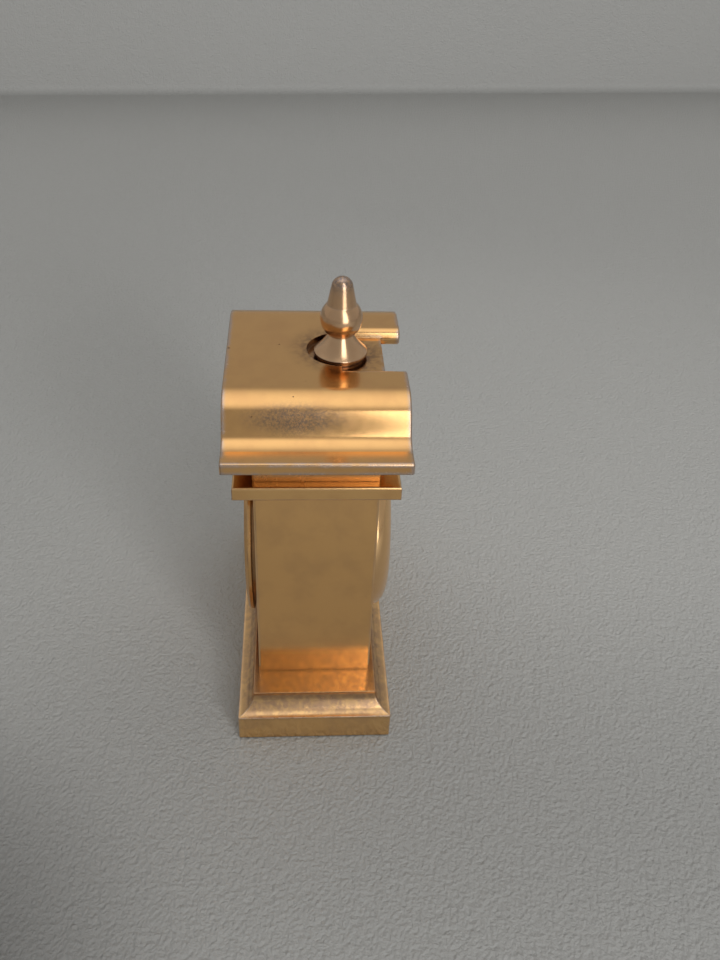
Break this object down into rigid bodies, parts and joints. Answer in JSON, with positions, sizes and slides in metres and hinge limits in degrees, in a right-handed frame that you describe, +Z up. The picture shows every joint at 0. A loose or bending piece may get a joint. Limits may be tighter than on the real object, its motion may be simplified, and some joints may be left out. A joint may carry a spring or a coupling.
{
  "type": "desk clock",
  "caption": "Small brass desk clock shaped as a pedimented block with a moulded base, cornice, turned finial, round bezel and a removable quartz clock insert.",
  "frame": {"origin": "middle of the underside, on the surface that the clock stands on", "axes": "+Z up, -Y towards the viewer of the dial, +X to that viewer's right"},
  "size_m": [0.0564, 0.028, 0.0727],
  "materials": {
    "polished_brass": "polished",
    "satin_brass": "satin",
    "felt": "napped",
    "steel": "bright",
    "iron_sheet": "satin",
    "magnet": "satin",
    "glass": "polished",
    "gasket": "soft",
    "rubber": "matte",
    "dial_paint": "matte",
    "dial_ring": "satin gilt",
    "hand_paint": "satin",
    "black_plastic": "moulded",
    "white_plastic": "moulded",
    "gear_plastic": "moulded",
    "gear_brass": "satin",
    "contact_metal": "satin",
    "board": "satin",
    "chip": "matte",
    "bobbin": "moulded",
    "copper_wire": "enamelled"
  },
  "bodies": {
    "case": {"base_plinth": "polished_brass", "base_felt": "felt", "base_screws": "steel", "body_block": "satin_brass", "cornice_plate": "polished_brass", "neck_block": "satin_brass", "roof_pediment": "polished_brass", "dowel_pins": "steel", "finial": "polished_brass"},
    "rear_cover": {"rear_cover": "satin_brass"},
    "insert": {"bezel": "polished_brass", "lens": "glass", "lens_gasket": "gasket", "dial_ring": "dial_ring", "dial": "dial_paint", "dial_spacer": "white_plastic", "movement_case": "black_plastic", "retaining_ring": "rubber", "main_plate": "white_plastic", "train_bridge": "white_plastic", "bridge_screws": "steel", "circuit_board": "board", "timer_chip": "chip", "crystal_can": "steel", "plus_contact": "contact_metal", "minus_contact": "contact_metal", "battery": "steel", "stator": "iron_sheet", "coil_core": "iron_sheet", "coil_bobbin": "bobbin", "coil_winding": "copper_wire", "coil_screws": "steel"},
    "minute_hand": {"cannon_pinion": "gear_brass", "minute_hand": "hand_paint"},
    "hour_hand": {"hour_wheel": "gear_plastic", "hour_hand": "hand_paint"},
    "minute_wheel": {"minute_wheel": "gear_plastic"},
    "setting_knob": {"setting_knob": "black_plastic", "setting_pinion": "gear_plastic"},
    "rotor": {"rotor_pinion": "gear_brass", "rotor_magnet": "magnet"},
    "intermediate_wheel": {"intermediate_wheel": "gear_plastic"},
    "seconds_hand": {"seconds_wheel": "gear_brass", "seconds_hand": "hand_paint"},
    "third_wheel": {"third_wheel": "gear_plastic"},
    "centre_wheel": {"centre_wheel": "gear_brass"},
    "battery_hatch": {"battery_hatch": "black_plastic"}
  },
  "joints": [
    {"name": "rear_cover_slide", "type": "slide", "parent": "case", "child": "rear_cover", "axis": [0, 1, 0], "range_m": [0, 0.02]},
    {"name": "insert_slide", "type": "slide", "parent": "case", "child": "insert", "axis": [0, -1, 0], "range_m": [0, 0.02]},
    {"name": "minute_turn", "type": "hinge", "parent": "insert", "child": "minute_hand", "pos_m": [0, 0, 0.028], "axis": [0, 1, 0], "continuous": true},
    {"name": "hour_turn", "type": "hinge", "parent": "insert", "child": "hour_hand", "pos_m": [0, 0, 0.028], "axis": [0, 1, 0], "continuous": true},
    {"name": "minute_wheel_turn", "type": "hinge", "parent": "insert", "child": "minute_wheel", "pos_m": [0.003, 0, 0.0228], "axis": [0, 1, 0], "continuous": true},
    {"name": "setting_knob_turn", "type": "hinge", "parent": "insert", "child": "setting_knob", "pos_m": [0.00852, 0, 0.02599], "axis": [0, 1, 0], "continuous": true},
    {"name": "rotor_turn", "type": "hinge", "parent": "insert", "child": "rotor", "pos_m": [0, 0, 0.03604], "axis": [0, 1, 0], "continuous": true},
    {"name": "intermediate_turn", "type": "hinge", "parent": "insert", "child": "intermediate_wheel", "pos_m": [0, 0, 0.03262], "axis": [0, 1, 0], "continuous": true},
    {"name": "seconds_turn", "type": "hinge", "parent": "insert", "child": "seconds_hand", "pos_m": [0, 0, 0.028], "axis": [0, 1, 0], "continuous": true},
    {"name": "third_wheel_turn", "type": "hinge", "parent": "insert", "child": "third_wheel", "pos_m": [-0.0046, 0, 0.028], "axis": [0, 1, 0], "continuous": true},
    {"name": "centre_wheel_turn", "type": "hinge", "parent": "insert", "child": "centre_wheel", "pos_m": [0, 0, 0.028], "axis": [0, 1, 0], "continuous": true},
    {"name": "battery_hatch_turn", "type": "hinge", "parent": "insert", "child": "battery_hatch", "pos_m": [0, 0, 0.0191], "axis": [0, -1, 0], "range_deg": [0, 45]}
  ],
  "couplings": [
    {"joint": "hour_turn", "follows": "minute_turn", "ratio": 0.083333},
    {"joint": "minute_wheel_turn", "follows": "minute_turn", "ratio": -0.33333},
    {"joint": "setting_knob_turn", "follows": "minute_turn", "ratio": 0.8},
    {"joint": "intermediate_turn", "follows": "rotor_turn", "ratio": -0.2},
    {"joint": "seconds_turn", "follows": "rotor_turn", "ratio": 0.033333},
    {"joint": "third_wheel_turn", "follows": "rotor_turn", "ratio": -0.0044444},
    {"joint": "centre_wheel_turn", "follows": "rotor_turn", "ratio": 0.00055556}
  ]
}
